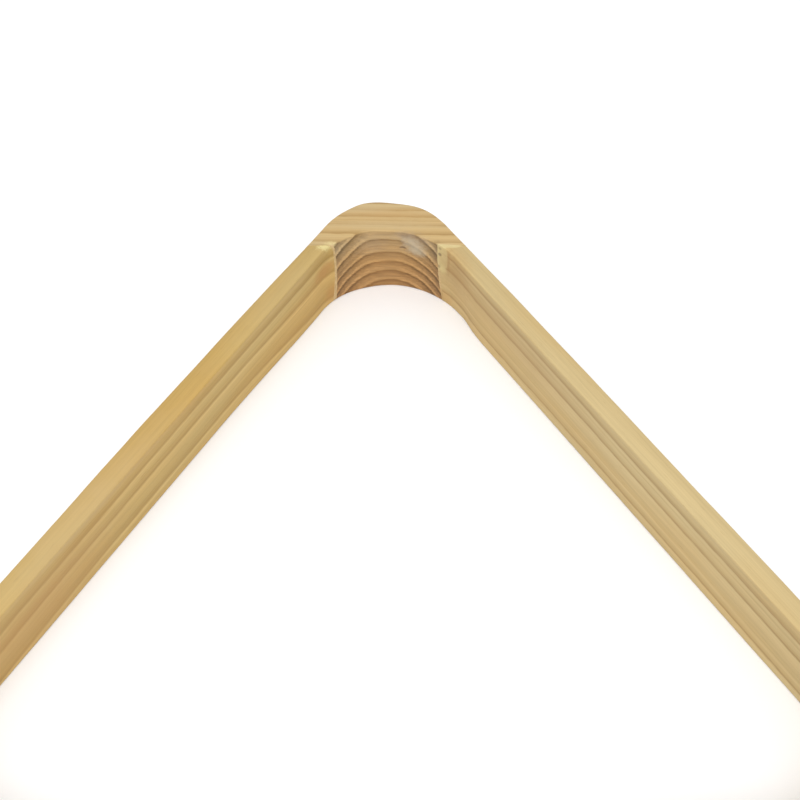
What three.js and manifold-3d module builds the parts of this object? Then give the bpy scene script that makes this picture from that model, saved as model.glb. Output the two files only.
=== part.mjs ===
// Triangle rack for fifteen pool balls, in millimetres, +Z up.
// Three straight pine rails are butt-jointed to three pine corner blocks. Each joint is glued and
// held by two hidden beech dowels. The head corner points to +Y. The origin is on the underside,
// at the centre of the rack's bounding box.

import * as THREE from "three";
import { mergeVertices } from "three/addons/utils/BufferGeometryUtils.js";
import Module from "manifold-3d";

const BALL_RADIUS = 28.6;
const BALLS_PER_SIDE = 5;
const BALL_CLEARANCE = 4.6; // spare length along each inner side, so the balls can be shuffled
const HEIGHT = 31;
const RAIL_THICKNESS = 8.8;
const INNER_RADIUS = 33.5; // bored inside of each corner block
const OUTER_RADIUS = 31; // rounded outside of each corner block
const JOINT_SETBACK = 42; // joint plane to the point where the inner faces would meet
const GLUE_GAP = 0.3;
const EDGE_ROUND = 0.8; // softened long edges

const DOWEL_DIAMETER = 4;
const DOWEL_LENGTH = 24;
const DOWEL_FLUTES = 12;
const FLUTE_DEPTH = 0.25;
const DOWEL_CHAMFER = 0.4;
const HOLE_CLEARANCE = 0.15; // all round the dowel
const HOLE_SPARE_DEPTH = 0.5; // left for glue beyond each dowel end
const DRILL_TIP_ANGLE = 118;
const HOLE_SIDES = 24;

const ARC_SEGMENTS = 24; // on each 120 degree corner arc
const EDGE_SEGMENTS = 3;
const SAW_MARGIN = 20; // how far the cutting blanks reach past the wood

const ROOT_3 = Math.sqrt(3);
const BALL_ROW = 2 * BALL_RADIUS * (BALLS_PER_SIDE - 1);
const INNER_SIDE = BALL_ROW + ROOT_3 * (INNER_RADIUS + BALL_RADIUS) + BALL_CLEARANCE;
const INNER_FACE = INNER_SIDE / (2 * ROOT_3); // triangle's centre to each inner face
const OUTER_FACE = INNER_FACE + RAIL_THICKNESS;
const RAIL_AXIS = INNER_FACE + RAIL_THICKNESS / 2;
const JOINT_PLANE = 2 * INNER_FACE - JOINT_SETBACK; // triangle's centre to each joint plane
const CENTRE_TO_ORIGIN = (OUTER_FACE - OUTER_RADIUS) / 2;
const THIRD_TURN_DEGREES = 120;
const THIRD_TURN = THREE.MathUtils.degToRad(THIRD_TURN_DEGREES);
const DOWEL_HEIGHTS = { lower: HEIGHT / 3, upper: (2 * HEIGHT) / 3 };

const wasm = await Module();
wasm.setup();

const pine = new THREE.MeshStandardMaterial({ color: 0xd2ad79, roughness: 0.55, metalness: 0 });
const darkPine = new THREE.MeshStandardMaterial({ color: 0xb78d5f, roughness: 0.6, metalness: 0 });
const beech = new THREE.MeshStandardMaterial({ color: 0xd9b98f, roughness: 0.6, metalness: 0 });

function toSolid(geometry) {
  const bare = geometry.clone();
  bare.deleteAttribute("normal");
  bare.deleteAttribute("uv");
  const merged = mergeVertices(bare);
  return new wasm.Manifold(
    new wasm.Mesh({
      numProp: 3,
      vertProperties: new Float32Array(merged.attributes.position.array),
      triVerts: new Uint32Array(merged.index.array),
    }),
  );
}

function toGeometry(solid) {
  const mesh = solid.getMesh();
  const geometry = new THREE.BufferGeometry();
  geometry.setAttribute("position", new THREE.BufferAttribute(mesh.vertProperties, 3));
  geometry.setIndex(new THREE.BufferAttribute(mesh.triVerts, 1));
  geometry.computeVertexNormals();
  return geometry;
}

// A triangle with its sides this far from its centre and its corners rounded, drawn
// counter-clockwise from the right-hand corner.
function roundedTriangle(path, face, radius) {
  for (let corner = 0; corner < 3; corner += 1) {
    const outward = -Math.PI / 6 + corner * THIRD_TURN;
    const reach = 2 * (face - radius);
    path.absarc(
      reach * Math.cos(outward),
      reach * Math.sin(outward),
      radius,
      outward - THIRD_TURN / 2,
      outward + THIRD_TURN / 2,
    );
  }
  path.closePath();
  return path;
}

// The whole frame as one outline, which the rails and blocks are then sawn from, so that the
// curves run on smoothly across every joint.
function frameSolid() {
  const outline = roundedTriangle(new THREE.Shape(), OUTER_FACE, OUTER_RADIUS);
  outline.holes.push(roundedTriangle(new THREE.Path(), INNER_FACE, INNER_RADIUS));
  const geometry = new THREE.ExtrudeGeometry(outline, {
    depth: HEIGHT - 2 * EDGE_ROUND,
    curveSegments: ARC_SEGMENTS,
    bevelSize: EDGE_ROUND,
    bevelThickness: EDGE_ROUND,
    bevelOffset: -EDGE_ROUND,
    bevelSegments: EDGE_SEGMENTS,
  });
  geometry.translate(0, 0, EDGE_ROUND);
  return toSolid(geometry);
}

function sawBlank(points) {
  const outline = new THREE.Shape(points.map(([x, y]) => new THREE.Vector2(x, y)));
  const geometry = new THREE.ExtrudeGeometry(outline, {
    depth: HEIGHT + 2 * SAW_MARGIN,
    bevelEnabled: false,
  });
  geometry.translate(0, 0, -SAW_MARGIN);
  return toSolid(geometry);
}

// The base rail's blank: its two slanted ends are the joint planes of the lower corners.
function railBlank() {
  const jointPlane = JOINT_PLANE - GLUE_GAP / 2;
  const low = -(OUTER_FACE + SAW_MARGIN);
  const high = -(INNER_FACE - RAIL_THICKNESS);
  const endAt = (y) => (2 * jointPlane + y) / ROOT_3;
  return sawBlank([
    [-endAt(low), low],
    [endAt(low), low],
    [endAt(high), high],
    [-endAt(high), high],
  ]);
}

// The head block's blank: its straight lower edge is the joint plane of the head corner.
function blockBlank() {
  const low = JOINT_PLANE + GLUE_GAP / 2;
  const high = 2 * OUTER_FACE;
  const halfWidth = 2 * JOINT_SETBACK;
  return sawBlank([
    [-halfWidth, low],
    [halfWidth, low],
    [halfWidth, high],
    [-halfWidth, high],
  ]);
}

// Where a dowel crosses the joint at the base rail's right-hand end.
function dowelCentre(height) {
  return new THREE.Vector3((2 * JOINT_PLANE - RAIL_AXIS) / ROOT_3, -RAIL_AXIS, height);
}

// A drilled hole along X that runs from the rail into the block, with a drill point at each end.
function holeSolid(centre) {
  const radius = DOWEL_DIAMETER / 2 + HOLE_CLEARANCE;
  const halfLength = DOWEL_LENGTH / 2 + HOLE_SPARE_DEPTH;
  const tip = radius / Math.tan(THREE.MathUtils.degToRad(DRILL_TIP_ANGLE / 2));
  const profile = [
    new THREE.Vector2(0, -halfLength - tip),
    new THREE.Vector2(radius, -halfLength),
    new THREE.Vector2(radius, halfLength),
    new THREE.Vector2(0, halfLength + tip),
  ];
  const geometry = new THREE.LatheGeometry(profile, HOLE_SIDES);
  geometry.rotateZ(-Math.PI / 2);
  geometry.translate(centre.x, centre.y, centre.z);
  return toSolid(geometry);
}

function drilledFrame() {
  let frame = frameSolid();
  for (const height of Object.values(DOWEL_HEIGHTS)) {
    for (const side of [-1, 1]) {
      const centre = dowelCentre(height);
      centre.x *= side;
      const hole = holeSolid(centre);
      for (let corner = 0; corner < 3; corner += 1) {
        frame = frame.subtract(hole.rotate([0, 0, corner * THIRD_TURN_DEGREES]));
      }
    }
  }
  return frame;
}

// A fluted dowel pin along X, chamfered at both ends.
function dowelGeometry() {
  const outline = new THREE.Shape();
  const points = [];
  for (let i = 0; i < 2 * DOWEL_FLUTES; i += 1) {
    const angle = (i * Math.PI) / DOWEL_FLUTES;
    const radius = DOWEL_DIAMETER / 2 - (i % 2) * FLUTE_DEPTH;
    points.push(new THREE.Vector2(radius * Math.cos(angle), radius * Math.sin(angle)));
  }
  outline.setFromPoints(points);
  const geometry = new THREE.ExtrudeGeometry(outline, {
    depth: DOWEL_LENGTH - 2 * DOWEL_CHAMFER,
    bevelSize: DOWEL_CHAMFER,
    bevelThickness: DOWEL_CHAMFER,
    bevelOffset: -DOWEL_CHAMFER,
    bevelSegments: 1,
  });
  geometry.translate(0, 0, DOWEL_CHAMFER - DOWEL_LENGTH / 2);
  geometry.rotateY(Math.PI / 2);
  return geometry;
}

function namedMesh(name, geometry, material) {
  const mesh = new THREE.Mesh(geometry, material);
  mesh.name = name;
  return mesh;
}

// Each rail carries the dowels of the joints at its two ends, named for the corner they enter.
function addDowels(side, railName, corners, geometry) {
  for (const [cornerName, end] of corners) {
    for (const [level, height] of Object.entries(DOWEL_HEIGHTS)) {
      const name = `${cornerName}_corner_${railName}_${level}_dowel`;
      const dowel = namedMesh(name, geometry, beech);
      dowel.position.copy(dowelCentre(height));
      dowel.position.x *= end;
      side.add(dowel);
    }
  }
}

const frame = drilledFrame();
const railGeometry = toGeometry(frame.intersect(railBlank()));
const blockGeometry = toGeometry(frame.intersect(blockBlank()));
const pinGeometry = dowelGeometry();

const rack = new THREE.Group();
rack.position.y = -CENTRE_TO_ORIGIN;

// Going round counter-clockwise: each rail starts at its first corner and ends at its second.
const RAILS = [
  ["base_rail", "left", "right"],
  ["right_rail", "right", "head"],
  ["left_rail", "head", "left"],
];
RAILS.forEach(([railName, firstCorner, secondCorner], turns) => {
  const side = new THREE.Group();
  side.rotation.z = turns * THIRD_TURN;
  side.add(namedMesh(railName, railGeometry, pine));
  addDowels(side, railName, [[firstCorner, -1], [secondCorner, 1]], pinGeometry);
  rack.add(side);
});

const CORNERS = ["head_corner_block", "left_corner_block", "right_corner_block"];
CORNERS.forEach((name, turns) => {
  const block = namedMesh(name, blockGeometry, darkPine);
  block.rotation.z = turns * THIRD_TURN;
  rack.add(block);
});

export default rack;
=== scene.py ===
"""Looks of the triangle rack: sanded pine rails and bored corner blocks, glue lines and dowels."""

import math
from dataclasses import dataclass

import bpy
from mathutils import Matrix, Vector, noise


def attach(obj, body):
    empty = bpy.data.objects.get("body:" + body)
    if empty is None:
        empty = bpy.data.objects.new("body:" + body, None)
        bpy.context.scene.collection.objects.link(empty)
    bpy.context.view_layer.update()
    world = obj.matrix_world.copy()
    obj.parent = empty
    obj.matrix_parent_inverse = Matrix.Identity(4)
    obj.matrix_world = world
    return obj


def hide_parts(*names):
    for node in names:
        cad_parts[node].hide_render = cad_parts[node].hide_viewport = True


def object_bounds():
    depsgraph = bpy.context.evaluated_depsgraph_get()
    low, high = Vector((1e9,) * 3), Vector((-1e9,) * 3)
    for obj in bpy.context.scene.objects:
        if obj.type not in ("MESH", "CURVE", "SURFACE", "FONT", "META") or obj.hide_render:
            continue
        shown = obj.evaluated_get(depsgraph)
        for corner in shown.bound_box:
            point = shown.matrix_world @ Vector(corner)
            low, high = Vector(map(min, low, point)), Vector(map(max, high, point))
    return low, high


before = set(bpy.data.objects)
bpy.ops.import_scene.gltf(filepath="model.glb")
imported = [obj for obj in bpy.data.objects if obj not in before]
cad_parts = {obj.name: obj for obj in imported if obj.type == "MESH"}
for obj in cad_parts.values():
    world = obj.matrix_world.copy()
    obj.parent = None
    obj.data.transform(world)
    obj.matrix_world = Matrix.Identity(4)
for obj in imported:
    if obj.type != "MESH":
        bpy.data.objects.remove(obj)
cad_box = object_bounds()

MM = 0.001
RAIL_THICKNESS = 8.8 * MM
INNER_RADIUS = 33.5 * MM
OUTER_RADIUS = 31 * MM
JOINT_SETBACK = 42 * MM
GLUE_GAP = 0.3 * MM

HOLE_RADIUS = 2.15 * MM  # the dowel holes
HOLE_HALF_LENGTH = 12.5 * MM
HOLE_TIP = 1.3 * MM  # the drill's point, beyond each end
HOLE_SIDES = 48
HOLE_LEVELS = (1 / 3, 2 / 3)  # of the height

HEIGHT = cad_box[1].z - cad_box[0].z
OUTER_FACE = (cad_box[1].y - cad_box[0].y + OUTER_RADIUS) / 3
INNER_FACE = OUTER_FACE - RAIL_THICKNESS
RAIL_AXIS = (INNER_FACE + OUTER_FACE) / 2
JOINT_PLANE = 2 * INNER_FACE - JOINT_SETBACK
BORE_CENTRE = 2 * (INNER_FACE - INNER_RADIUS)
CENTRE = Vector((0, cad_box[0].y + OUTER_FACE, cad_box[0].z))
UP = Vector((0, 0, 1))
ROOT_3 = math.sqrt(3)
SIXTH = math.pi / 3
THIRD = 2 * math.pi / 3

# A corner's number is how many sides it comes after the middle of the base, anticlockwise.
RIGHT, HEAD, LEFT = 0.5, 1.5, 2.5


# ---------------------------------------------------------------- outlines of the rack

class Outline:
    """The inside or outside of the rack in plan: a triangle with round corners.

    A place on it is its length u, anticlockwise from the middle of the base side.
    """

    def __init__(self, face, radius):
        self.face = face
        self.radius = radius
        self.straight = ROOT_3 * (face - radius)
        self.third = 2 * (self.straight + radius * SIXTH)

    def point(self, u):
        turns = round(u / self.third)
        along = u - turns * self.third
        bend = max(0.0, abs(along) - self.straight) / self.radius
        x = math.copysign(min(abs(along), self.straight) + self.radius * math.sin(bend), along)
        y = self.radius * (1 - math.cos(bend)) - self.face
        return Matrix.Rotation(turns * THIRD, 3, "Z") @ Vector((x, y, 0)) + CENTRE

    def outward(self, u):
        step = 0.1 * MM
        run = self.point(u + step) - self.point(u - step)
        return Vector((run.y, -run.x, 0)).normalized()

    def reach(self, plane):
        """Length from the head corner's middle to where a plane across the corner cuts it."""
        low, high = 0.0, self.third / 2
        for _ in range(40):  # each pass halves what is left
            middle = (low + high) / 2
            if self.point(HEAD * self.third - middle).y - CENTRE.y > plane:
                low = middle
            else:
                high = middle
        return low


INSIDE = Outline(INNER_FACE, INNER_RADIUS)
OUTSIDE = Outline(OUTER_FACE, OUTER_RADIUS)


def cut(corner, side, plane):
    """A cut across the wood beside a corner, as its places on the inside and the outside."""
    return (corner * INSIDE.third + side * INSIDE.reach(plane),
            corner * OUTSIDE.third + side * OUTSIDE.reach(plane))


# ---------------------------------------------------------------- hand work at the head corner
# Lengths in mm. s is the outline length from the middle of the head corner, negative to the left.

def hill(s, centre, before, after):
    """A smooth hill, 1 high at its centre, with its own width on either side."""
    width = before if s < centre else after
    return math.exp(-((s - centre) / width) ** 2)


def cut_at_top(s):
    """How far the bore goes out past its true place at the top."""
    return 1.3 * hill(s, -9, 6, 7) + 0.5 * hill(s, 6, 8, 12) + 0.5 * hill(s, -24, 8, 12)


def cut_at_foot(s):
    """The bore leans: at the foot it stops short on the left and goes too far on the right."""
    short = 1.35 * hill(s, -40, 38, 34) + 0.5 * hill(s, -8, 10, 10)
    return 1.45 * hill(s, 40, 18, 9) - short


def cut_outside(s):
    """Wood sanded off the outside, in flats on both flanks and beside the tip.

    It stands proud to the left of the tip, and far along the left rail.
    """
    flanks = 0.9 * hill(s, -30, 45, 15) + 0.9 * hill(s, 30, 9, 45)
    tip = 0.7 * hill(s, 4, 5, 8) - 0.6 * hill(s, -10, 5, 5)
    return flanks + tip - 0.5 * hill(s, -165, 45, 60)


def slide(s, level):
    """How far the two sawn joints lean along the wood, to the left of their true place."""
    left = (1 - level) * (1.2 - 4.8 * level)
    right = 0.4 * level + (1 - level) * (4.4 * level - 3.6)
    return left * hill(s, -24, 10, 10) + right * hill(s, 24, 10, 14)


# ---------------------------------------------------------------- mesh helpers

ARRIS = 0.75 * MM  # the rounding of the long edges
ARRIS_VARIETY = 0.35
ARRIS_WAVES = 55  # to the metre
ARRIS_STEPS = 5
ROWS = 42  # of faces up each side of the wood
COLUMNS = 8  # of faces across its top and its foot

SWELL = 0.10 * MM  # how uneven the faces are, in broad waves
SWELL_WAVES = 38  # to the metre
RIPPLE = 0.025 * MM  # and in short ones
RIPPLE_WAVES = 160
FLAT_FOOT = 4 * MM  # both die out over this height, because the rack stands flat
DENT_REACH = 2.5  # a dent fades out at this many times its radius


def bore_place(degrees, z):
    """A point on the head corner's bore, by its angle from the middle and its height in mm."""
    angle = math.radians(degrees)
    plan = Vector((INNER_RADIUS * math.sin(angle), BORE_CENTRE + INNER_RADIUS * math.cos(angle), 0))
    return CENTRE + plan + UP * z * MM


# Small holes where the grain was torn: place, radius and depth.
DENTS = [
    (bore_place(12.5, 22.3), 0.9 * MM, 0.5 * MM),
    (bore_place(42.6, 29.3), 0.6 * MM, 0.3 * MM),
    (bore_place(42.6, 25.9), 0.9 * MM, 0.5 * MM),
    (bore_place(42.2, 19.0), 0.7 * MM, 0.3 * MM),
    (bore_place(-42.5, 31.0), 1.8 * MM, 1.0 * MM),
]


def sanded(point, outward):
    """Hand sanding leaves the faces very slightly uneven, and torn grain leaves small holes."""
    swell = noise.noise(point * SWELL_WAVES) * SWELL + noise.noise(point * RIPPLE_WAVES) * RIPPLE
    swell *= min(1.0, (point.z - CENTRE.z) / FLAT_FOOT)
    for place, radius, depth in DENTS:
        near = (point - place).length / radius
        if near < DENT_REACH:
            swell -= depth * math.exp(-near ** 2)
    return point + outward * swell


def profile(width, arris):
    """The rounded rectangle of a section, as (x, z, normal x, normal z), inner foot first."""
    right = width - arris
    top = HEIGHT - arris
    centres = [(arris, arris), (right, arris), (right, top), (arris, top)]
    rim = []
    for corner, (x, z) in enumerate(centres):
        for step in range(ARRIS_STEPS + 1):
            angle = math.pi * (1 + corner / 2) + math.pi / 2 * step / ARRIS_STEPS
            normal = (math.cos(angle), math.sin(angle))
            rim.append((x + arris * normal[0], z + arris * normal[1], *normal))
        start_x, start_z, normal_x, normal_z = rim[-1]
        next_x, next_z = centres[(corner + 1) % 4]
        run_x = next_x + arris * normal_x - start_x
        run_z = next_z + arris * normal_z - start_z
        count = ROWS if corner % 2 else COLUMNS
        for step in range(1, count):
            part = step / count
            rim.append((start_x + run_x * part, start_z + run_z * part, normal_x, normal_z))
    return rim


def section(inner_u, outer_u):
    """A closed loop of (point, outward) round the wood at one cut."""
    inner = INSIDE.point(inner_u)
    outer = OUTSIDE.point(outer_u)
    width = (outer - inner).length
    across = (outer - inner).normalized()
    arris = ARRIS * (1 + ARRIS_VARIETY * noise.noise(inner * ARRIS_WAVES))
    s = (HEAD * INSIDE.third - inner_u) / MM
    outer_s = (HEAD * OUTSIDE.third - outer_u) / MM
    inner_out = INSIDE.outward(inner_u)
    outer_place = outer - OUTSIDE.outward(outer_u) * cut_outside(outer_s) * MM
    loop = []
    for x, z, normal_x, normal_z in profile(width, arris):
        level = z / HEIGHT
        bored = cut_at_top(s) * level + cut_at_foot(s) * (1 - level)
        inner_place = INSIDE.point(inner_u + slide(s, level) * MM) + inner_out * bored * MM
        point = inner_place.lerp(outer_place, x / width) + UP * z
        outward = across * normal_x + UP * normal_z
        loop.append((sanded(point, outward), outward))
    return loop


def loft(name, loops):
    """A closed mesh through closed loops that all have the same number of points.

    A fan of triangles closes each end.
    """
    size = len(loops[0])
    points = [point for loop in loops for point in loop]
    faces = []
    for ring in range(len(loops) - 1):
        for i in range(size):
            here, there = ring * size, (ring + 1) * size
            j = (i + 1) % size
            faces.append((here + i, here + j, there + j, there + i))
    last = len(points) - size
    for start, order in ((0, -1), (last, 1)):
        middle = len(points)
        points.append(sum(points[start:start + size], Vector()) / size)
        for i in range(size):
            edge = (start + i, start + (i + 1) % size)
            faces.append((middle, *edge[::order]))
    return solid(name, points, faces)


def solid(name, points, faces):
    mesh = bpy.data.meshes.new(name)
    mesh.from_pydata(points, [], faces)
    mesh.update()
    piece = bpy.data.objects.new(name, mesh)
    bpy.context.scene.collection.objects.link(piece)
    return piece


def spindle():
    """The points of one dowel hole, along X about the origin, from one drill point to the other."""
    end = Vector((HOLE_HALF_LENGTH + HOLE_TIP, 0, 0))
    points = [-end]
    for x in (-HOLE_HALF_LENGTH, HOLE_HALF_LENGTH):
        for i in range(HOLE_SIDES):
            angle = 2 * math.pi * i / HOLE_SIDES
            points.append(Vector((x, HOLE_RADIUS * math.cos(angle), HOLE_RADIUS * math.sin(angle))))
    points.append(end)
    return points


def spindle_faces(start):
    """The faces of a hole whose first point has this number."""
    tip = start + 2 * HOLE_SIDES + 1
    faces = []
    for i in range(HOLE_SIDES):
        near = start + 1 + i
        near_next = start + 1 + (i + 1) % HOLE_SIDES
        far = near + HOLE_SIDES
        far_next = near_next + HOLE_SIDES
        faces.append((start, near_next, near))
        faces.append((near, near_next, far_next, far))
        faces.append((tip, far, far_next))
    return faces


def drill_bits():
    """The dowel holes of the whole rack as one mesh of pointed spindles."""
    middle = (2 * JOINT_PLANE - RAIL_AXIS) / ROOT_3
    points, faces = [], []
    for turn in range(3):
        spin = Matrix.Rotation(turn * THIRD, 3, "Z")
        for side in (-1, 1):
            for level in HOLE_LEVELS:
                centre = Vector((side * middle, -RAIL_AXIS, level * HEIGHT))
                faces += spindle_faces(len(points))
                points += [spin @ (centre + point) + CENTRE for point in spindle()]
    return solid("drill_bits", points, faces)


SHARP_ANGLE = math.radians(40)


def drilled(piece, bits):
    """Cuts the dowel holes out of a piece and shades it smooth between its sharp edges."""
    holes = piece.modifiers.new("holes", "BOOLEAN")
    holes.operation = "DIFFERENCE"
    holes.solver = "EXACT"
    holes.object = bits
    depsgraph = bpy.context.evaluated_depsgraph_get()
    cut_mesh = bpy.data.meshes.new_from_object(piece.evaluated_get(depsgraph))
    piece.modifiers.clear()
    piece.data = cut_mesh
    cut_mesh.name = piece.name
    cut_mesh.shade_smooth()
    cut_mesh.set_sharp_from_angle(angle=SHARP_ANGLE)
    return piece


# ---------------------------------------------------------------- the pieces

RAIL_STATIONS = 240
BLOCK_STATIONS = 96
RAIL_END = JOINT_PLANE - GLUE_GAP / 2
BLOCK_END = JOINT_PLANE + GLUE_GAP / 2


def wood_between(name, start, end, stations):
    """A piece of the frame from one cut to the next."""
    loops = []
    for i in range(stations + 1):
        part = i / stations
        inner_u, outer_u = (a + (b - a) * part for a, b in zip(start, end))
        loops.append([point for point, _ in section(inner_u, outer_u)])
    return loft(name, loops)


def rail(name, turns):
    """The rail that comes this many sides after the base rail."""
    start = cut(turns - 0.5, 1, RAIL_END)
    end = cut(turns + 0.5, -1, RAIL_END)
    return wood_between(name, start, end, RAIL_STATIONS)


def block(name, corner):
    start = cut(corner, -1, BLOCK_END)
    end = cut(corner, 1, BLOCK_END)
    return wood_between(name, start, end, BLOCK_STATIONS)


BEAD_REACH = 0.9 * MM  # the widest that a bead can be, on each side of the joint
BEAD_PROUD = 0.06 * MM
BEAD_CREST = 0.55  # where the bead stands highest, as a part of its width
BEAD_WAVES = 420  # to the metre
SUNK = 0.01 * MM  # how far the glue's edges lie below the wood


def bead_width(outward, from_inside, level, ragged, top_bead, foot_bead):
    """How wide the bead is at one place on the rim of a joint, from 0 to 1 of its reach."""
    if outward.z > 0.5:
        return 0.1 + 0.5 * ragged * (from_inside < top_bead)
    if outward.z > -0.5 and from_inside < RAIL_THICKNESS / 2:
        return 0.12 + 0.3 * ragged + foot_bead * (1 - level) ** 2
    return 0.1


def glue_line(name, corner, side, top_bead, foot_bead):
    """The dried glue in a joint: a thin slab with an uneven bead squeezed out of it.

    top_bead is how far from the inner face the bead also shows on top, and foot_bead is how much
    it widens towards the foot.
    """
    offsets = [-BEAD_REACH, -GLUE_GAP / 2, GLUE_GAP / 2, BEAD_REACH]
    rims = [section(*cut(corner, side, JOINT_PLANE - side * offset)) for offset in offsets]
    inner_edge = INSIDE.point(cut(corner, side, JOINT_PLANE)[0])
    loops = [[] for _ in range(6)]
    for (low, _), (near, outward), (far, _), (high, _) in zip(*rims):
        ragged = 0.5 + 0.5 * noise.noise(near * BEAD_WAVES + UP * corner * 7)
        from_inside = (Vector((near.x, near.y, CENTRE.z)) - inner_edge).length
        level = (near.z - CENTRE.z) / HEIGHT
        width = bead_width(outward, from_inside, level, ragged, top_bead, foot_bead)
        sunk = -outward * SUNK
        lift = outward * BEAD_PROUD * (0.25 + 0.75 * ragged)
        loops[0].append(near + sunk)
        loops[1].append(near.lerp(low, width) + sunk)
        loops[2].append(near.lerp(low, width * BEAD_CREST) + lift)
        loops[3].append(far.lerp(high, width * BEAD_CREST) + lift)
        loops[4].append(far.lerp(high, width) + sunk)
        loops[5].append(far + sunk)
    return loft(name, loops)


# ---------------------------------------------------------------- materials

MIX_FIRST, MIX_SECOND, MIX_RESULT = 6, 7, 2  # the colour sockets of a Mix node


def grey(value):
    return (value, value, value)


def srgb(red, green, blue):
    """A colour given as the eye sees it, from 0 to 255, in the linear values that shaders use."""
    return tuple(((c / 255 + 0.055) / 1.055) ** 2.4 for c in (red, green, blue))


def opaque(colour):
    """A colour with the alpha that a socket wants. A socket stays as it is."""
    return (*colour, 1) if isinstance(colour, tuple) else colour


class Nodes:
    """Short helpers for building one material's node tree."""

    def __init__(self, name):
        self.material = bpy.data.materials.new(name)
        self.material.use_nodes = True
        self.tree = self.material.node_tree
        self.shader = self.tree.nodes["Principled BSDF"]
        self.place = self.node("ShaderNodeTexCoord").outputs["Object"]
        self.wood = None  # in pine, the place in mm in the frame of its tree
        self.phase = None  # in pine, the place within its growth ring, from 0 to 1

    def node(self, kind, inputs=(), **settings):
        made = self.tree.nodes.new(kind)
        for key, value in settings.items():
            setattr(made, key, value)
        for key, value in dict(inputs).items():
            if isinstance(value, bpy.types.NodeSocket):
                self.tree.links.new(value, made.inputs[key])
            else:
                made.inputs[key].default_value = value
        return made

    def math(self, operation, *values):
        made = self.node("ShaderNodeMath", dict(enumerate(values)), operation=operation)
        return made.outputs[0]

    def vector(self, operation, *values):
        made = self.node("ShaderNodeVectorMath", dict(enumerate(values)), operation=operation)
        return made.outputs[0]

    def length(self, vector):
        made = self.node("ShaderNodeVectorMath", {0: vector}, operation="LENGTH")
        return made.outputs["Value"]

    def frame(self, origin, rotation, scale):
        """The place measured in a frame of its own."""
        settings = {"Vector": self.place, "Location": origin, "Rotation": rotation, "Scale": scale}
        return self.node("ShaderNodeMapping", settings, vector_type="TEXTURE").outputs["Vector"]

    def noise(self, vector, waves, detail=2.0, roughness=0.5):
        """A noise with this many waves to each unit of the vector, along each of its axes."""
        stretched = self.vector("MULTIPLY", vector, waves)
        settings = {"Vector": stretched, "Scale": 1.0, "Detail": detail, "Roughness": roughness}
        return self.node("ShaderNodeTexNoise", settings).outputs["Fac"]

    def waver(self, value, vector, waves, amount, detail=2.0):
        """A value made to waver by a noise, up to about half the amount either way."""
        either_way = self.math("SUBTRACT", self.noise(vector, waves, detail), 0.5)
        return self.math("MULTIPLY_ADD", either_way, amount, value)

    def ramp(self, value, stops):
        """The colour at a value, from stops of (place from 0 to 1, colour)."""
        made = self.node("ShaderNodeValToRGB", {"Fac": value})
        elements = made.color_ramp.elements
        while len(elements) < len(stops):
            elements.new(0.5)
        for element, (place, _) in zip(elements, stops):
            element.position = place
        for element, (_, colour) in zip(elements, stops):
            element.color = (*colour, 1)
        return made.outputs["Color"]

    def spread(self, value, low, high, to_low=0.0, to_high=1.0):
        """Spreads the range from low to high over another one, and stops at its ends."""
        settings = {"Value": value, "From Min": low, "From Max": high}
        settings.update({"To Min": to_low, "To Max": to_high})
        return self.node("ShaderNodeMapRange", settings).outputs["Result"]

    def mix(self, factor, first, second, blend="MIX"):
        inputs = {"Factor": factor, MIX_FIRST: opaque(first), MIX_SECOND: opaque(second)}
        made = self.node("ShaderNodeMix", inputs, data_type="RGBA", blend_type=blend)
        return made.outputs[MIX_RESULT]

    def times(self, colour, factor):
        return self.mix(1.0, colour, factor, blend="MULTIPLY")

    def relief(self, height, strength, distance):
        settings = {"Strength": strength, "Distance": distance, "Height": height}
        self.link(self.node("ShaderNodeBump", settings).outputs["Normal"], "Normal")

    def link(self, output, name):
        self.tree.links.new(output, self.shader.inputs[name])


def ring_phase(nodes, distance, borders, edge):
    """Rises from 0 to 1 over each growth ring, and falls back over the edge, a length in mm.

    A border is (distance, strength from 0 to 1).
    """
    low, high = borders[0][0], borders[-1][0]
    stops = [(0.0, grey(0.0))]
    for border, strength in borders[1:-1]:
        stops.append(((border - edge / 2 - low) / (high - low), grey(0.5 + strength / 2)))
        stops.append(((border + edge / 2 - low) / (high - low), grey(0.5 - strength / 2)))
    stops.append((1.0, grey(1.0)))
    return nodes.ramp(nodes.spread(distance, low, high), stops)


@dataclass
class Grain:
    """Where a piece's wood lies in its tree.

    X runs along the grain from the origin, Y across it and Z away from it, after the turn in plan,
    the slope and the tilt. pith is the heart of the tree, as (y, z) in mm. rings are the heights in
    mm above the origin, and the strengths, of the ring borders, and edge is how sharp they are.
    bow bends the rings down towards the ends, the more the deeper they lie below the top. waves is
    how much the rings waver, and seed moves all the noise, so that no two pieces are alike.
    """

    origin: Vector
    turn: float
    pith: tuple
    rings: list
    edge: float
    slope: float = 0.0
    tilt: float = 0.0
    bow: float = 0.0
    waves: float = 1.0
    seed: float = 0.0

    def borders(self):
        found = []
        for height, strength in self.rings:
            y = height * math.sin(self.tilt) - self.pith[0]
            z = height * math.cos(self.tilt) - self.pith[1]
            found.append((math.hypot(y, z), strength))
        return sorted(found)


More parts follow.
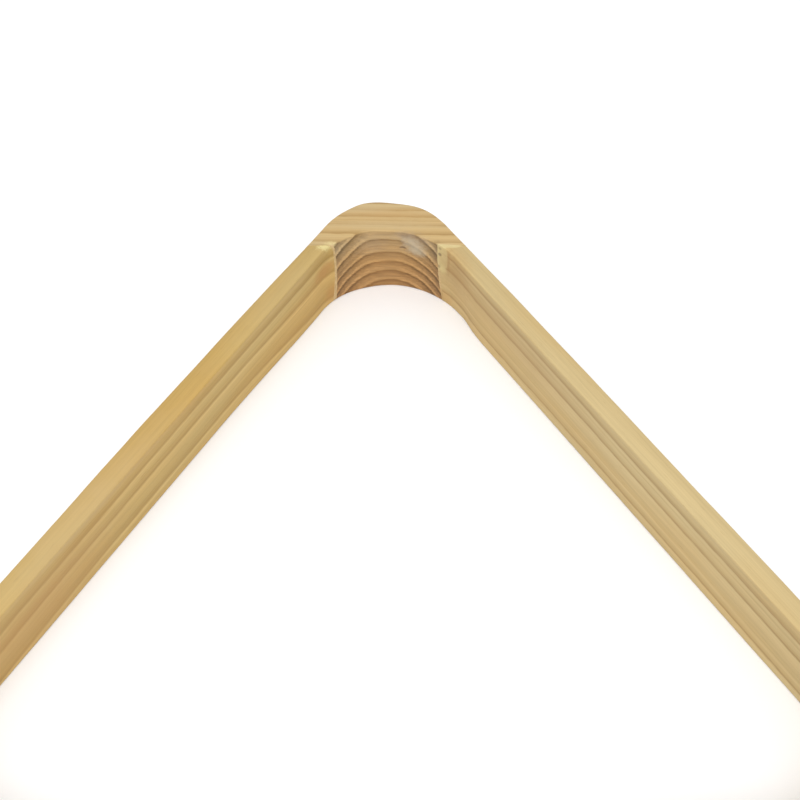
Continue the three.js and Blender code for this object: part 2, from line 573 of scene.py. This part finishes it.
def growth_rings(nodes, wood, grain):
    """The place within its growth ring: the distance from the pith, gently waving along the board."""
    x, _, z = nodes.node("ShaderNodeSeparateXYZ", {0: wood}).outputs
    depth = nodes.math("SUBTRACT", HEIGHT / MM, z)
    curve = nodes.math("MULTIPLY", nodes.math("MULTIPLY", x, x), grain.bow)
    sag = nodes.node("ShaderNodeCombineXYZ", {"Z": nodes.math("MULTIPLY", curve, depth)}).outputs[0]
    offset = nodes.vector("ADD", nodes.vector("SUBTRACT", wood, (0, *grain.pith)), sag)
    distance = nodes.length(nodes.vector("MULTIPLY", offset, (0, 1, 1)))
    distance = nodes.waver(distance, nodes.wood, (0.02, 0.05, 0.05), 2.2 * grain.waves)
    distance = nodes.waver(distance, nodes.wood, (0.08, 0.5, 0.5), 0.7 * grain.waves)
    distance = nodes.waver(distance, nodes.wood, (0.22, 1.6, 1.6), 0.9, detail=3)
    return ring_phase(nodes, distance, grain.borders(), grain.edge)


FIBRE_CONTRAST = 0.14
BAND_CONTRAST = 0.04
WARM = (1.03, 0.965, 0.86)
CANAL = (0.55, 0.42, 0.3)


def pine(name, grain, tones, marks):
    """Pine with growth rings, fibres, resin canals, the marks of use and repair, and painted shade.

    tones run from the pale early wood of a ring, at 0, to its dark late wood, at 1.
    """
    nodes = Nodes(name)
    wood = nodes.frame(grain.origin, (grain.tilt, grain.slope, grain.turn), (MM, MM, MM))
    nodes.wood = nodes.vector("ADD", wood, (grain.seed, grain.seed * 0.7, -grain.seed))
    nodes.phase = growth_rings(nodes, wood, grain)
    colour = nodes.ramp(nodes.phase, tones)

    # fibres: streaks drawn out along the grain, broad ones and fine ones, and wider bands
    broad = nodes.noise(nodes.wood, (0.015, 0.9, 0.9), detail=3, roughness=0.6)
    hair = nodes.noise(nodes.wood, (0.05, 4.5, 4.5), detail=3, roughness=0.65)
    bands = nodes.noise(nodes.wood, (0.008, 0.35, 0.35), detail=2)
    streaks = nodes.math("ADD", nodes.math("MULTIPLY", broad, 0.55), nodes.math("MULTIPLY", hair, 0.45))
    streaked = nodes.spread(streaks, 0.25, 0.75, 1 - FIBRE_CONTRAST, 1 + FIBRE_CONTRAST)
    banded = nodes.spread(bands, 0.3, 0.7, 1 - BAND_CONTRAST, 1 + BAND_CONTRAST)
    colour = nodes.times(nodes.times(colour, streaked), banded)

    # warmer patches along the board
    patches = nodes.noise(nodes.wood, (0.009, 0.05, 0.05))
    colour = nodes.mix(nodes.spread(patches, 0.4, 0.62), colour, nodes.times(colour, WARM))

    # resin canals: short dark dashes along the grain
    dash = nodes.spread(nodes.noise(nodes.wood, (0.16, 3.2, 3.2), detail=1), 0.70, 0.78, 0.0, 0.35)
    colour = nodes.mix(dash, colour, nodes.times(colour, CANAL))

    # stains, filler, torn grain and painted shade
    for mark in marks:
        colour = mark(nodes, colour)

    # relief: fibres, slightly raised late wood, and the canals as tiny grooves
    height = nodes.math("MULTIPLY_ADD", hair, 0.6, nodes.math("MULTIPLY", broad, 0.5))
    height = nodes.math("MULTIPLY_ADD", nodes.phase, 0.25, height)
    height = nodes.math("MULTIPLY_ADD", dash, -1.2, height)
    nodes.relief(height, 0.35, 0.12 * MM)
    nodes.link(nodes.spread(streaks, 0.3, 0.7, 0.62, 0.48), "Roughness")
    nodes.link(colour, "Base Color")
    nodes.shader.inputs["Specular IOR Level"].default_value = 0.35
    return nodes.material


# A mark is a function that takes a material's nodes and its colour so far, and gives the new colour.

def patch(place, radii, turn, tint, amount, ragged=0.5, soft=0.2, grit=0.45):
    """A stain with an uneven edge. radii are along the wall, through it and up it, in mm.

    ragged is how uneven its edge is and soft how gradual, both in radii, and grit is how fine the
    unevenness is, in waves to the mm.
    """
    def mark(nodes, colour):
        near = nodes.length(nodes.frame(place, (0, 0, turn), Vector(radii) * MM))
        mottle = nodes.vector("MULTIPLY", nodes.place, (1 / MM,) * 3)
        edge = nodes.waver(near, mottle, (grit,) * 3, 2 * ragged, detail=4)
        return nodes.mix(nodes.spread(edge, 1 + soft, 1 - soft, 0.0, amount), colour, tint)
    return mark


BORE_SKIN = 3 * MM  # the bored face is the wood that lies no deeper than this
# painted shade down the bore by height, darkest at the foot, with a lilac-grey dust tint at the top
BORE_SHADE_AND_DUST = [(0.1, (0.78, 0.59, 0.45)), (0.5, (0.80, 0.67, 0.575)), (0.87, (0.85, 0.84, 0.91))]
RING_LINES = [(0.0, grey(1.28)), (0.16, grey(1.22)), (0.32, grey(0.99)), (0.72, grey(0.94)),
              (0.92, grey(0.74))]


def shaded_dusty_bore(nodes, colour):
    """The bored face is rough, and painted shade darkens it, most of all at the foot and the sides; near
    the top the tint turns a lilac grey, for dust.

    The lines of the growth rings stand out more towards the sides.
    """
    z = nodes.node("ShaderNodeSeparateXYZ", {0: nodes.place}).outputs["Z"]
    axis = nodes.vector("SUBTRACT", nodes.place, CENTRE + Vector((0, BORE_CENTRE, 0)))
    radius = nodes.length(nodes.vector("MULTIPLY", axis, (1, 1, 0)))
    level = nodes.math("DIVIDE", z, HEIGHT)
    wall = INNER_RADIUS + BORE_SKIN
    on_wall = nodes.spread(radius, wall + 0.5 * MM, wall - 0.5 * MM)
    below_top = nodes.spread(level, 0.995, 0.975)
    # painted shade: darker towards the foot, greyer near the top
    darker = nodes.times(colour, nodes.ramp(level, BORE_SHADE_AND_DUST))
    # painted shade: darker towards the sides of the bore
    sideways = nodes.length(nodes.vector("MULTIPLY", axis, (1, 0, 0)))
    darker = nodes.times(darker, nodes.spread(sideways, 8 * MM, 24 * MM, 1.0, 0.82))
    contrast = nodes.spread(sideways, 4 * MM, 20 * MM, 0.5, 1.8)
    darker = nodes.times(darker, nodes.math("POWER", nodes.ramp(nodes.phase, RING_LINES), contrast))
    rough = nodes.noise(nodes.wood, (0.07, 1.3, 1.3), detail=4, roughness=0.65)
    darker = nodes.times(darker, nodes.spread(rough, 0.3, 0.7, 0.82, 1.18))
    return nodes.mix(nodes.math("MULTIPLY", on_wall, below_top), colour, darker)


def aged_top(tint):
    """Light and hands have changed the colour of a top edge."""
    def mark(nodes, colour):
        z = nodes.node("ShaderNodeSeparateXYZ", {0: nodes.place}).outputs["Z"]
        top = CENTRE.z + HEIGHT
        on_top = nodes.spread(z, top - 1.2 * MM, top - 0.3 * MM)
        return nodes.mix(on_top, colour, nodes.times(colour, tint))
    return mark


def on_bore(degrees, z, radii, tint, amount, **settings):
    """A patch on the head corner's bore."""
    return patch(bore_place(degrees, z), radii, -math.radians(degrees), tint, amount, **settings)


def on_block_top(across, behind, radii, tint, amount, **settings):
    """A patch on top of the head corner block, placed in mm from the middle of the bore's edge."""
    place = bore_place(0, HEIGHT / MM) + Vector((across, behind, 0)) * MM
    return patch(place, (*radii, 2.0), 0, tint, amount, **settings)


def on_rail(side, from_head, z, radii, tint, amount):
    """A broad patch on a rail, placed in mm along its inside from the head corner's middle.

    side is 1 on the left rail and -1 on the right rail.
    """
    place = INSIDE.point(HEAD * INSIDE.third + side * from_head * MM) + UP * z * MM
    return patch(place, radii, side * 2 * THIRD, tint, amount, ragged=0.45, soft=0.6, grit=0.1)


def rail_grain(turns, pith, rings, slope, waves, seed, bow=0.0):
    """Grain along a rail, measured from the middle of its inner face. slope is in degrees."""
    origin = Matrix.Rotation(turns * THIRD, 3, "Z") @ Vector((0, -INNER_FACE, 0)) + CENTRE
    return Grain(origin, turns * THIRD, pith, rings, edge=1.0, slope=math.radians(slope), bow=bow,
                 waves=waves, seed=seed)


def block_grain(corner, rings, tilt, turn, seed):
    """Grain across a corner block, measured from the middle of its bore. Angles are in degrees."""
    angle = (corner - HEAD) * THIRD
    origin = Matrix.Rotation(angle, 3, "Z") @ Vector((0, BORE_CENTRE + INNER_RADIUS, 0)) + CENTRE
    return Grain(origin, angle + math.radians(turn), (17, -400), rings, edge=0.5,
                 tilt=math.radians(tilt), waves=0.6, seed=seed)


def glue(name, inner_edge, top_bead, marks):
    """Dried glue: cream where a bead was squeezed out, and the colour of the wood elsewhere."""
    nodes = Nodes(name)
    mottled = nodes.noise(nodes.place, (900, 900, 900), detail=4, roughness=0.65)
    colour = nodes.ramp(mottled, [(0.3, srgb(176, 148, 96)), (0.7, srgb(192, 166, 112))])
    cream = nodes.ramp(mottled, [(0.3, srgb(182, 152, 104)), (0.55, srgb(202, 174, 124)),
                                 (0.75, srgb(214, 190, 142))])
    from_edge = nodes.vector("SUBTRACT", nodes.place, inner_edge)
    across = nodes.length(nodes.vector("MULTIPLY", from_edge, (1, 1, 0)))
    colour = nodes.mix(nodes.spread(across, 2.6 * MM, 1.8 * MM), colour, cream)
    if top_bead:
        on_top = nodes.vector("SUBTRACT", from_edge, UP * HEIGHT)
        squeezed = nodes.spread(nodes.length(on_top), top_bead * 1.1, top_bead * 0.9)
        colour = nodes.mix(squeezed, colour, cream)
    for mark in marks:
        colour = mark(nodes, colour)
    nodes.link(colour, "Base Color")
    nodes.relief(mottled, 0.6, 0.1 * MM)
    nodes.shader.inputs["Roughness"].default_value = 0.6
    return nodes.material


def beech():
    """Plain pale beech with short flecks."""
    nodes = Nodes("beech")
    flecks = nodes.noise(nodes.place, (700, 700, 2500), detail=3)
    colour = nodes.ramp(flecks, [(0.3, srgb(206, 172, 130)), (0.7, srgb(222, 192, 152))])
    nodes.link(colour, "Base Color")
    nodes.relief(flecks, 0.3, 0.05 * MM)
    nodes.shader.inputs["Roughness"].default_value = 0.6
    return nodes.material


# ---------------------------------------------------------------- the wood of each piece

LEFT_TONES = [(0.0, srgb(206, 178, 115)), (0.15, srgb(196, 168, 106)), (0.5, srgb(189, 160, 97)),
              (0.85, srgb(180, 150, 87)), (1.0, srgb(170, 139, 79))]
RIGHT_TONES = [(0.0, srgb(199, 178, 130)), (0.4, srgb(194, 172, 124)), (0.75, srgb(186, 163, 114)),
               (0.9, srgb(175, 149, 101)), (1.0, srgb(163, 136, 88))]
BASE_TONES = [(0.0, srgb(202, 179, 127)), (0.3, srgb(196, 172, 119)), (0.7, srgb(188, 162, 109)),
              (1.0, srgb(172, 145, 92))]
BLOCK_TONES = [(0.0, srgb(188, 165, 119)), (0.25, srgb(191, 167, 121)), (0.6, srgb(184, 158, 111)),
               (0.85, srgb(175, 148, 100)), (1.0, srgb(165, 136, 88))]


def even_rings(first, spacing, count):
    return [(first + spacing * i, 1.0) for i in range(count)]


LEFT_RINGS = [(42, 1), (33.5, 1), (24.6, 1), (17.3, 1), (5.8, 1), (-5, 1), (-16, 1)]
RIGHT_RINGS = [(42, 1), (34.0, 1), (25.8, 1), (23.2, 0.3), (18.6, 1), (9.2, 0.45), (4.4, 1),
               (-5, 1), (-14, 1)]
BASE_RINGS = [(42, 1), (34, 1), (27, 1), (19, 1), (12, 0.7), (6, 1), (-3, 1), (-12, 1)]
HEAD_RINGS = [(-25, 1), (-19.5, 1), (-14, 1), (-9, 1), (-4.5, 1), (-0.6, 1), (4.2, 1), (9.7, 1),
              (14.9, 1), (20.0, 1), (23.2, 0.35), (26.6, 1), (33.3, 1), (38.8, 0.8), (44, 1)]

FILLER = srgb(190, 180, 158)
DUST = srgb(158, 142, 126)
CREAM = srgb(208, 191, 138)
STRAW = srgb(220, 206, 146)
BROWNED = srgb(168, 132, 84)
SOOT = srgb(96, 78, 60)
ORANGE = srgb(186, 140, 80)
PALE = srgb(192, 168, 124)

HEAD_JOINT = CENTRE + Vector((0, JOINT_PLANE, HEIGHT))
TORN = {"ragged": 1.1, "grit": 1.1}  # straw-coloured fibres that the saw tore out at a joint

RIGHT_MARKS = [
    # a cream strip along the joint, glue smeared over the top edge, and resin at the foot
    on_bore(43.9, 25.0, (4.0, 2.5, 8.0), CREAM, 0.75, ragged=0.25, soft=0.1),
    on_bore(46.2, 18.6, (1.8, 2.5, 2.2), STRAW, 0.6, ragged=0.4, soft=0.4, grit=0.8),
    patch(HEAD_JOINT + Vector((26.5, -0.6, 0)) * MM, (5.0, 1.1, 2.0), 0, CREAM, 0.85, ragged=0.35),
    on_bore(50, 3.5, (3.5, 3.0, 3.0), ORANGE, 0.35, ragged=0.5, soft=0.5),
    # dirt in three small holes
    on_bore(42.6, 29.3, (0.7, 2.0, 0.7), SOOT, 0.35, ragged=0.3),
    on_bore(42.6, 25.9, (0.9, 2.0, 0.9), SOOT, 0.65, ragged=0.3),
    on_bore(42.2, 19.0, (0.8, 2.0, 0.8), SOOT, 0.4, ragged=0.3),
    # browner wood beyond the strip and along the rail
    on_bore(60, 22, (9.0, 5.0, 9.0), BROWNED, 0.4, ragged=0.5, soft=0.6),
    on_bore(51.5, 24.5, (0.8, 2.5, 6.5), BROWNED, 0.5, ragged=0.5, soft=0.5),
    on_rail(-1, 82, 21.5, (42, 3, 6), BROWNED, 0.3),
]
LEFT_MARKS = [
    aged_top((0.91, 0.90, 0.83)),
    # paler and warmer stretches along the rail
    on_rail(1, 60, 31, (36, 12, 2.5), PALE, 0.3),
    on_rail(1, 145, 31, (34, 12, 2.5), ORANGE, 0.2),
    on_rail(1, 197, 31, (42, 12, 2.5), PALE, 0.45),
    on_rail(1, 222, 14, (34, 3, 13), ORANGE, 0.45),
    # resin beside the joint, and torn fibres on top of it
    on_bore(-53, 20.5, (6.5, 4.0, 3.2), ORANGE, 0.75, ragged=0.4, soft=0.5),
    on_bore(-46, 5.5, (3.5, 4.0, 5.0), ORANGE, 0.55, ragged=0.4, soft=0.5),
    patch(HEAD_JOINT + Vector((-26.0, -1.0, 0)) * MM, (3.0, 1.8, 1.8), 0, STRAW, 0.75, soft=0.5, **TORN),
]
HEAD_MARKS = [
    # painted shade and dust on the bore, with its rough mottle
    shaded_dusty_bore,
    # grey dust near the top of the bore
    on_bore(19, 28, (7.0, 2.5, 3.0), DUST, 0.40, ragged=0.9, soft=0.5),
    on_bore(-12, 24, (6.0, 2.5, 4.0), DUST, 0.15, ragged=0.9, soft=0.6),
    # uneven colour on top
    on_block_top(0, 12.0, (17, 3.0), ORANGE, 0.25, ragged=0.5, soft=0.6),
    on_block_top(-2, 4.2, (22, 2.6), PALE, 0.55, ragged=0.5, soft=0.6),
    on_block_top(-9, 15.5, (12, 2.4), PALE, 0.5, ragged=0.5, soft=0.6),
    # a smudge of filler
    on_bore(17, 27.0, (3.0, 2.5, 2.2), FILLER, 0.35, ragged=0.9, soft=0.6, grit=0.7),
    on_bore(21, 24.0, (4.0, 2.5, 3.2), FILLER, 0.50, ragged=0.9, soft=0.6, grit=0.7),
    on_bore(24, 22.0, (3.0, 2.5, 2.2), FILLER, 0.45, ragged=0.8, soft=0.6, grit=0.9),
    # dirt in the hole beside it and above it, and a darker line down the side of the right joint
    on_bore(12.5, 22.4, (1.5, 2.0, 0.6), SOOT, 0.6, ragged=0.3),
    on_bore(13.5, 29.5, (2.0, 2.0, 1.3), SOOT, 0.25, ragged=0.5, soft=0.4),
    on_bore(38.6, 24.5, (1.2, 2.5, 6.5), SOOT, 0.3, ragged=0.8, soft=0.5, grit=0.6),
    on_bore(41.5, 10.0, (1.2, 2.5, 7.5), SOOT, 0.2, ragged=0.8, soft=0.5, grit=0.6),
    # torn fibres on top of the left joint
    patch(HEAD_JOINT + Vector((-23.5, 0.9, 0)) * MM, (2.2, 1.3, 1.4), 0, STRAW, 0.5, soft=0.6, **TORN),
]


# ---------------------------------------------------------------- assembly

def dress(piece, material):
    piece.data.materials.clear()
    piece.data.materials.append(material)
    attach(piece, "root")


# Each rail: its number of sides after the base rail, grain, tones and marks.
RAILS = {
    "base_rail": (
        0, rail_grain(0, (14, 96), BASE_RINGS, slope=0.6, waves=1.0, seed=31.0),
        BASE_TONES, [],
    ),
    "right_rail": (
        1, rail_grain(1, (16, 112), RIGHT_RINGS, slope=-0.4, waves=0.7, seed=57.0),
        RIGHT_TONES, RIGHT_MARKS,
    ),
    "left_rail": (
        2, rail_grain(2, (22, 110), LEFT_RINGS, slope=0.8, waves=0.5, seed=11.0, bow=1.0e-5),
        LEFT_TONES, LEFT_MARKS,
    ),
}

# Each corner block: its corner, grain and marks.
BLOCKS = {
    "head_corner_block": (
        HEAD, block_grain(HEAD, HEAD_RINGS, tilt=50, turn=-1.5, seed=3.0), HEAD_MARKS,
    ),
    "left_corner_block": (
        LEFT, block_grain(LEFT, even_rings(-24.6, 5.3, 14), tilt=38, turn=3, seed=41.0), [],
    ),
    "right_corner_block": (
        RIGHT, block_grain(RIGHT, even_rings(-16.6, 4.6, 14), tilt=24, turn=-2, seed=77.0), [],
    ),
}

# Each glued joint: the corner's name and number, the joint's side of it, the rail's name, how far
# the bead also shows on top, in mm, how much it widens towards the foot, and the marks over it.
JOINTS = [
    ("head", HEAD, -1, "right", 7, 0.1, RIGHT_MARKS),
    ("head", HEAD, 1, "left", 2, 0.5, []),
    ("left", LEFT, -1, "left", 0, 0.2, []),
    ("left", LEFT, 1, "base", 1, 0.3, []),
    ("right", RIGHT, -1, "base", 0, 0.1, []),
    ("right", RIGHT, 1, "right", 3, 0.4, []),
]

bits = drill_bits()
for node, (turns, grain, tones, marks) in RAILS.items():
    piece = drilled(rail(f"{node}_wood", turns), bits)
    dress(piece, pine(f"pine_{node}", grain, tones, marks))
    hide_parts(node)
for node, (corner, grain, marks) in BLOCKS.items():
    piece = drilled(block(f"{node}_wood", corner), bits)
    dress(piece, pine(f"pine_{node}", grain, BLOCK_TONES, marks))
    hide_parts(node)
for corner_name, corner, side, rail_name, top_bead, foot_bead, marks in JOINTS:
    name = f"{corner_name}_corner_{rail_name}_glue"
    piece = drilled(glue_line(name, corner, side, top_bead * MM, foot_bead), bits)
    inner_edge = INSIDE.point(cut(corner, side, JOINT_PLANE)[0])
    dress(piece, glue(f"dried_{name}", inner_edge, top_bead * MM, marks))
bpy.data.objects.remove(bits)

dowel_wood = beech()
for name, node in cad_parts.items():
    if name.endswith("dowel"):
        for slot in node.material_slots:
            slot.material = dowel_wood


# ---------------------------------------------------------------- floor, light and camera

FLOOR_REACH = 6.0
FLOOR_GAP = 0.05 * MM  # below the rack, so that the floor and the foot don't lie in one plane


def floor():
    corners = [(-1, -1), (1, -1), (1, 1), (-1, 1)]
    points = [(x * FLOOR_REACH, y * FLOOR_REACH, 0) for x, y in corners]
    plane = solid("floor", points, [(0, 1, 2, 3)])
    plane.location.z = cad_box[0].z - FLOOR_GAP
    nodes = Nodes("floor_paint")
    nodes.shader.inputs["Base Color"].default_value = (0.92, 0.93, 0.95, 1)
    nodes.shader.inputs["Roughness"].default_value = 0.8
    nodes.shader.inputs["Specular IOR Level"].default_value = 0.2
    plane.data.materials.append(nodes.material)


def area_light(name, place, target, size, power):
    light = bpy.data.lights.new(name, "AREA")
    light.energy = power
    light.size = size
    lamp = bpy.data.objects.new(name, light)
    lamp.location = place
    lamp.rotation_euler = (Vector(target) - Vector(place)).to_track_quat("-Z", "Y").to_euler()
    bpy.context.scene.collection.objects.link(lamp)


def studio():
    """White light from all round, and a softbox above and in front of the base rail."""
    world = bpy.data.worlds.new("studio")
    world.use_nodes = True
    background = world.node_tree.nodes["Background"]
    background.inputs["Color"].default_value = (1, 1, 1, 1)
    background.inputs["Strength"].default_value = 0.80
    bpy.context.scene.world = world
    area_light("softbox_above", place=(-0.1, -0.6, 1.35), target=(0, 0, 0), size=1.2, power=14)
    bpy.context.scene.view_settings.view_transform = "Standard"


SENSOR_WIDTH = 36
FOCAL_LENGTH = 58.8
PITCH = math.radians(48.51)  # how far it looks down
SWING = math.radians(2.21)  # how far it is turned to the right
ROLL = math.radians(1.47)
CAMERA_PLACE = Vector((-0.2773, -14.7428, 12.9581))  # in rail heights, from where the inner faces meet


def camera():
    """Looks down at the head corner from beyond the base rail."""
    lens = bpy.data.cameras.new("camera")
    lens.sensor_width = SENSOR_WIDTH
    lens.lens = FOCAL_LENGTH
    view = bpy.data.objects.new("camera", lens)
    bpy.context.scene.collection.objects.link(view)
    inner_apex = CENTRE + Vector((0, 2 * INNER_FACE, 0))
    forward = Vector((math.sin(SWING), math.cos(SWING), 0))
    level = Vector((math.cos(SWING), -math.sin(SWING), 0))
    ahead = forward * math.cos(PITCH) - UP * math.sin(PITCH)
    above = level.cross(ahead)
    right = level * math.cos(ROLL) + above * math.sin(ROLL)
    up = above * math.cos(ROLL) - level * math.sin(ROLL)
    pose = Matrix((right, up, -ahead)).transposed().to_4x4()
    pose.translation = inner_apex + HEIGHT * CAMERA_PLACE
    view.matrix_world = pose
    bpy.context.scene.camera = view


floor()
studio()
camera()
